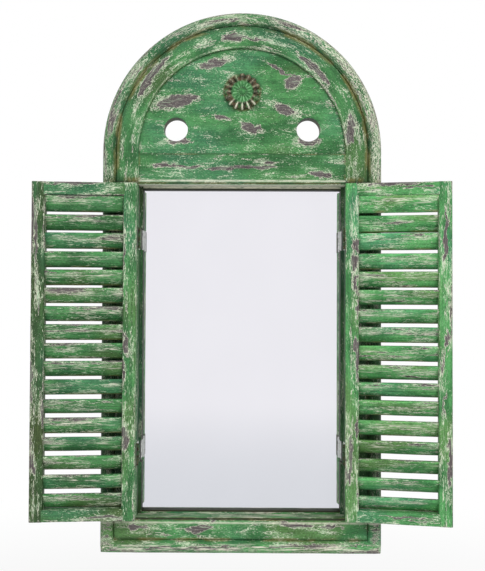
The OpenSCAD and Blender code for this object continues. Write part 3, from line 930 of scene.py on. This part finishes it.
def stand_for(b, node, finish, move, body):
    """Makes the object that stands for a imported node, with a move that takes millimetres to it."""
    bmesh.ops.transform(b, matrix=move, verts=b.verts)
    bmesh.ops.recalc_face_normals(b, faces=b.faces)
    for face in b.faces:
        face.smooth = True
    for e in b.edges:
        e.smooth = e.calc_face_angle(0) < math.radians(40)
    mesh = bpy.data.meshes.new(f"{node}_timber")
    b.to_mesh(mesh)
    b.free()
    piece = bpy.data.objects.new(f"{node}_timber", mesh)
    bpy.context.scene.collection.objects.link(piece)
    mesh.materials.append(finish)
    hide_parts(node)
    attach(piece, body)


def hang(b, side, node, finish):
    """Hangs a piece in its open shutter, with which it swings."""
    move = Matrix.Translation((-PIN_X, PIN_Y, 0))
    move = move @ Matrix.Rotation(-math.radians(OPEN[side]), 4, "Z")
    if side == "right":
        move = Matrix.Scale(-1, 4, (1, 0, 0)) @ move
    move = Matrix.Scale(0.001, 4) @ move
    stand_for(b, node, finish, move, f"{side}_shutter")


# ---- Pieces ----

# How light the paint of each shutter's pieces is, how olive it has gone, how much the dry brush
# left behind, and where the grain begins. The lightness paints the left shutter darker as painted
# shade and the right one lighter as painted light, for the key light from the right
SHUTTER_PAINT = {
    "left": {
        "hinge": 0.8,
        "meeting": 0.44,
        "rails": 0.62,
        "slats": 0.9,
        "yellow": 0.95,
        "dry": 0.03,
        "offset": (0, 0, 40),
    },
    "right": {
        "hinge": 1.08,
        "meeting": 1.12,
        "rails": 1.06,
        "slats": 1.42,
        "yellow": 0.5,
        "dry": 0.015,
        "offset": (300, 50, 90),
    },
}

# How far each slat has crept up or down in its housings, in millimetres, and how far it leans, in
# degrees; a third number is how far it stands off the middle of the shutter's thickness
SLAT_LIE = {
    "left": (
        (0.3, 30), (-0.2, 34), (0, 31), (-0.3, 30), (0, 31), (0.4, 32),
        (0.6, 35), (0.6, 29), (0.4, 29), (1.1, 31), (1.2, 29), (0.5, 35),
        (-0.1, 23), (-0.1, 34), (-0.1, 34), (-0.6, 30), (-0.5, 33),
    ),
    "right": (
        (0.5, 9, 3.0), (-0.9, 22), (0, 22), (-1.3, 31), (-1, 30), (-0.3, 38),
        (-0.6, 40), (-0.7, 31), (-0.7, 30), (-1, 37), (0.3, 39), (0.6, 30),
        (-0.9, 30), (-1.5, 40), (-1.4, 38), (-1.2, 40), (-1.3, 40),
    ),
}


class MIRROR_OT_frame(bpy.types.Operator):
    """Paints the arch crown, the stiles and the head rail, and shapes the base rail"""

    bl_idname = "mirror.frame"
    bl_label = "Frame"

    def execute(self, context):
        hoop = painted_timber(
            "hoop_paint", lay_hoop, CROWN_WEAR, tone=0.7, worn=0.5, stroke=1.4, dry=0.01
        )
        dress(hoop, "arch_crown", "left_stile", "right_stile")
        head = painted_timber(
            "head_paint", lay_head, HEAD_WEAR, tone=0.72, stroke=1.2, offset=(7, 30, 0)
        )
        dress(head, "head_rail")
        self.make_base_rail()
        return {"FINISHED"}

    def make_base_rail(self):
        board = ((-BEAD_IN, -FACE_D, BEAD_W), (BEAD_IN, 0, RECESS_LOW), 0.7)
        lip = ((-LIP_X, -LIP_D[1], RECESS_LOW - 1), (LIP_X, -LIP_D[0], RECESS_LOW + 3.2), 0.4)
        b = beaded_foot(RECESS_LOW)
        for low, high, ease in (board, lip):
            take_in(b, planed_timber(low, high, ease, cuts=30, depth=0.2, reach=26, seed=4))
        finish = painted_timber(
            "base_paint", lay_base, BASE_WEAR, worn=0.5, stroke=1.2, offset=(40, 0, 9), dry=0.01
        )
        stand_for(b, "base_rail", finish, Matrix.Scale(0.001, 4), "frame")


class MIRROR_OT_lunette(bpy.types.Operator):
    """Paints the pierced half-round panel"""

    bl_idname = "mirror.lunette"
    bl_label = "Half-round panel"

    def execute(self, context):
        finish = painted_timber(
            "panel_paint", lay_panel, PANEL_WEAR, tone=0.79, worn=-0.8, offset=(25, 0, 0)
        )
        dress(finish, "lunette_panel")
        return {"FINISHED"}


class MIRROR_OT_rosette(bpy.types.Operator):
    """Paints the carved rosette"""

    bl_idname = "mirror.rosette"
    bl_label = "Rosette"

    def execute(self, context):
        dress(carved_rosette(), "rosette")
        return {"FINISHED"}


class MIRROR_OT_glass(bpy.types.Operator):
    """Silvers the mirror glass"""

    bl_idname = "mirror.glass"
    bl_label = "Mirror glass"

    def execute(self, context):
        dress(silvered_glass(), "mirror_glass")
        return {"FINISHED"}


class MIRROR_OT_back(bpy.types.Operator):
    """Finishes the back board, the glazing points, the hangers and the screws"""

    bl_idname = "mirror.back"
    bl_label = "Back and fixings"

    def execute(self, context):
        dress(raw_hardboard(), "back_board")
        screws = ("frame_screws", "left_hinge_screws", "right_hinge_screws")
        dress(plated_steel(), "glazing_points", "hanger_plates", *screws)
        return {"FINISHED"}


class MIRROR_OT_hinges(bpy.types.Operator):
    """Ages the leaves and the pins of the hinges"""

    bl_idname = "mirror.hinges"
    bl_label = "Hinges"

    def execute(self, context):
        leaves = ("frame_hinge_leaves", "left_hinge_leaves", "right_hinge_leaves")
        dress(aged_brass(), "hinge_pins", *leaves)
        return {"FINISHED"}


class MIRROR_OT_shutters(bpy.types.Operator):
    """Shapes and paints the stiles and the rails of both shutters"""

    bl_idname = "mirror.shutters"
    bl_label = "Shutters"

    def execute(self, context):
        for side, paint in SHUTTER_PAINT.items():
            self.make_stiles(side, paint)
            self.make_rails(side, paint)
        return {"FINISHED"}

    def make_stiles(self, side, paint):
        low, high = SHUTTER_X
        front, back = SHUTTER_Y[0] + 0.05, SHUTTER_Y[1] - 0.05
        for n, (stile, left, right, yellow, dry) in enumerate((
            ("hinge", low, low + STILE_W, 0.5, paint["dry"]),
            ("meeting", high - STILE_W, high, paint["yellow"], 0.005),
        )):
            name = f"{side}_{stile}"
            finish = painted_timber(
                f"{name}_paint",
                lay_shutter_stile(side),
                STILE_WEAR[name],
                tone=paint[stile],
                worn=0.7,
                stroke=2.4,
                offset=paint["offset"],
                yellow=yellow,
                combed=1.5,
                dry=dry,
            )
            b = planed_timber(
                (left, front, SHUTTER_Z[0]),
                (right, back, SHUTTER_Z[1]),
                ease=1.5,
                cuts=40,
                depth=0.22,
                reach=28,
                seed=n * 5 + len(side),
            )
            hang(b, side, f"{name}_stile", finish)

    def make_rails(self, side, paint):
        left = SHUTTER_X[0] + STILE_W - RAIL_TENON
        right = SHUTTER_X[1] - STILE_W + RAIL_TENON
        front, back = SHUTTER_Y
        finish = painted_timber(
            f"{side}_rail_paint",
            lay_shutter_rail(side),
            RAIL_WEAR[side],
            tone=paint["rails"],
            worn=0.3,
            stroke=1.6,
            offset=paint["offset"],
            yellow=paint["yellow"],
            combed=1.5,
            dry=paint["dry"],
        )
        for n, (node, foot, top) in enumerate((
            (f"{side}_top_rail", OPENING_Z[1], SHUTTER_Z[1]),
            (f"{side}_bottom_rail", SHUTTER_Z[0], OPENING_Z[0]),
        )):
            b = planed_timber(
                (left, front, foot),
                (right, back, top),
                ease=1.2,
                end_ease=0.1,
                cuts=12,
                depth=0.16,
                reach=24,
                seed=n * 9 + len(side),
            )
            hang(b, side, node, finish)


class MIRROR_OT_slats(bpy.types.Operator):
    """Shapes and paints the louvre slats of both shutters"""

    bl_idname = "mirror.slats"
    bl_label = "Louvre slats"

    def execute(self, context):
        for side, paint in SHUTTER_PAINT.items():
            finish = painted_timber(
                f"{side}_slat_paint",
                lay_slat,
                tone=paint["slats"],
                worn=0.4,
                stroke=2.4,
                offset=paint["offset"],
                combed=2.0,
                dry=0.01,
            )
            for n, lie in enumerate(SLAT_LIE[side]):
                hang(self.slat(n, *lie), side, f"{side}_slat_{n + 1:02d}", finish)
        return {"FINISHED"}

    def slat(self, n, lift, lean, off=0):
        left = SHUTTER_X[0] + STILE_W - SLAT_TENON
        right = SHUTTER_X[1] - STILE_W + SLAT_TENON
        corners = (left, -SLAT_T / 2, -SLAT_W / 2), (right, SLAT_T / 2, SLAT_W / 2)
        b, axis, middle = eased_timber(*corners, ease=SLAT_T * 0.49, end_ease=0.3, cuts=14)
        plane_by_hand(b, axis, depth=0.35, reach=20, seed=n * 3.7)
        own_grain = n * 30
        lie = b.verts.layers.float_vector.new("lie")
        for v in b.verts:
            v[lie] = (v.co.x + middle.x, v.co.z, v.co.y + own_grain)
        turn = Matrix.Rotation(-math.radians(lean), 3, "X")
        bmesh.ops.rotate(b, cent=(0, 0, 0), matrix=turn, verts=b.verts)
        place = Vector((middle.x, sum(SHUTTER_Y) / 2 + off, SLAT_TOP - n * PITCH + lift))
        bmesh.ops.translate(b, verts=b.verts, vec=place)
        return b


class MIRROR_OT_studio(bpy.types.Operator):
    """Lays the floor, hangs the light and sets the camera"""

    bl_idname = "mirror.studio"
    bl_label = "Studio"

    def execute(self, context):
        scene = context.scene
        scene.view_settings.view_transform = "Standard"
        self.lay_floor(scene)
        self.light_world(scene)
        self.hang_lamps(scene)
        self.set_camera(scene)
        return {"FINISHED"}

    def lay_floor(self, scene):
        mesh = bpy.data.meshes.new("floor")
        b = bmesh.new()
        bmesh.ops.create_circle(b, cap_ends=True, segments=96, radius=6.0)
        bmesh.ops.translate(b, verts=b.verts, vec=(0, 0, -scene.mirror_studio.drop))
        b.to_mesh(mesh)
        b.free()
        floor = bpy.data.objects.new("floor", mesh)
        scene.collection.objects.link(floor)
        mesh.materials.append(self.floor_finish())

    def floor_finish(self):
        """Pale paper that is white to the camera further out and a soft grey in the mirror."""
        f = Finish("studio_floor")
        glossy, seen = f.rays()
        grain = f.noise(f.place, (300, 300, 300), 2)
        colour = f.shade((0.9, 0.9, 0.9), 0.97 + grain * 0.06)
        lit = f.add("ShaderNodeBsdfPrincipled", {}, {"Base Color": colour, "Roughness": 0.8})
        white = f.add("ShaderNodeEmission", {}, {"Color": (1, 1, 1, 1), "Strength": 1.0})
        ahead = -f.parts(f.place)[1]
        tone = f.mix(ahead.step(1150, 3500), tint(222, 224, 227), tint(244, 243, 245))
        mirrored = f.add("ShaderNodeEmission", {}, {"Color": tone, "Strength": 1.0})
        out = f.vector("LENGTH", f.place).step(500, 1500)
        shader = f.blend(seen * (0.8 + out * 0.2), lit, white)
        shader = f.blend(glossy, shader, mirrored)
        f.add("ShaderNodeOutputMaterial", {}, {"Surface": shader})
        return f.material

    def light_world(self, scene):
        """Light from all round, weaker from behind; white to the camera, grey in the mirror."""
        scene.world = bpy.data.worlds.new("studio")
        n = Nodes(scene.world)
        glossy, seen = n.rays()
        ahead = n.parts(n.add("ShaderNodeTexCoord", {}, {}, "Generated"))[1]
        ramp = n.add("ShaderNodeMapRange", {}, [ahead, -0.7, 0.5])
        tone = n.mix(ramp, (1, 1, 1), (0.45, 0.45, 0.45))
        strength = scene.mirror_studio.ambient
        lit = n.add("ShaderNodeBackground", {}, {"Color": tone, "Strength": strength})
        mirrored = n.add("ShaderNodeBackground", {}, {"Color": rgba(tint(244, 243, 245))})
        white = n.add("ShaderNodeBackground", {}, {"Color": (1, 1, 1, 1)})
        shader = n.blend(seen, n.blend(glossy, lit, mirrored), white)
        n.add("ShaderNodeOutputWorld", {}, {"Surface": shader})

    def hang_lamps(self, scene):
        key = scene.mirror_studio.key
        middle = Vector((0, 0, 0.27))
        for name, place, power in (
            ("key_light", (0.9, -1.5, 1.25), key),
            ("fill_light", (-1.3, -1.2, 1.1), key * 0.4),
        ):
            lamp = bpy.data.lights.new(name, "AREA")
            lamp.energy = power
            lamp.size = 1.0
            lamp.shape = "DISK"
            holder = bpy.data.objects.new(name, lamp)
            holder.location = place
            aim = middle - Vector(place)
            holder.rotation_euler = aim.to_track_quat("-Z", "Y").to_euler()
            holder.visible_glossy = False
            scene.collection.objects.link(holder)

    def set_camera(self, scene):
        """The place and the angles, in radians, come from fitting the frame to the photograph."""
        place = (0.0047, -0.776, 0.2451)
        pitch, yaw, roll = 0.021, -0.005, 0.004
        camera = bpy.data.cameras.new("camera")
        camera.lens = scene.mirror_studio.lens
        camera.sensor_width = 36
        camera.clip_start = 0.01
        level = Vector((math.cos(yaw), -math.sin(yaw), 0))
        away = Vector((math.sin(yaw), math.cos(yaw), 0))
        ahead = math.cos(pitch) * away + Vector((0, 0, math.sin(pitch)))
        upright = level.cross(ahead)
        right = math.cos(roll) * level + math.sin(roll) * upright
        up = math.cos(roll) * upright - math.sin(roll) * level
        turn = Matrix((right, up, -ahead)).transposed().to_4x4()
        holder = bpy.data.objects.new("camera", camera)
        holder.matrix_world = Matrix.Translation(place) @ turn
        scene.collection.objects.link(holder)
        scene.camera = holder


PIECES = (
    MIRROR_OT_frame,
    MIRROR_OT_lunette,
    MIRROR_OT_rosette,
    MIRROR_OT_glass,
    MIRROR_OT_back,
    MIRROR_OT_hinges,
    MIRROR_OT_shutters,
    MIRROR_OT_slats,
    MIRROR_OT_studio,
)
GROUPS = {"mirror_paint": MirrorPaint, "mirror_metal": MirrorMetal, "mirror_studio": MirrorStudio}


class MIRROR_PT_pieces(bpy.types.Panel):
    """Lists the pieces of the mirror and their settings"""

    bl_idname = "MIRROR_PT_pieces"
    bl_label = "Shutter Mirror"
    bl_space_type = "VIEW_3D"
    bl_region_type = "UI"
    bl_category = "Mirror"

    def draw(self, context):
        layout = self.layout
        for piece in PIECES:
            layout.operator(piece.bl_idname)
        for group in GROUPS:
            settings = getattr(context.scene, group)
            box = layout.box()
            for key in settings.__annotations__:
                box.prop(settings, key)


CLASSES = (*GROUPS.values(), *PIECES, MIRROR_PT_pieces)


def register():
    for cls in CLASSES:
        bpy.utils.register_class(cls)
    for name, group in GROUPS.items():
        setattr(bpy.types.Scene, name, bpy.props.PointerProperty(type=group))


def unregister():
    for name in GROUPS:
        delattr(bpy.types.Scene, name)
    for cls in reversed(CLASSES):
        bpy.utils.unregister_class(cls)


def main():
    register()
    for piece in PIECES:
        group, name = piece.bl_idname.split(".")
        getattr(getattr(bpy.ops, group), name)()


if __name__ == "__main__":
    main()
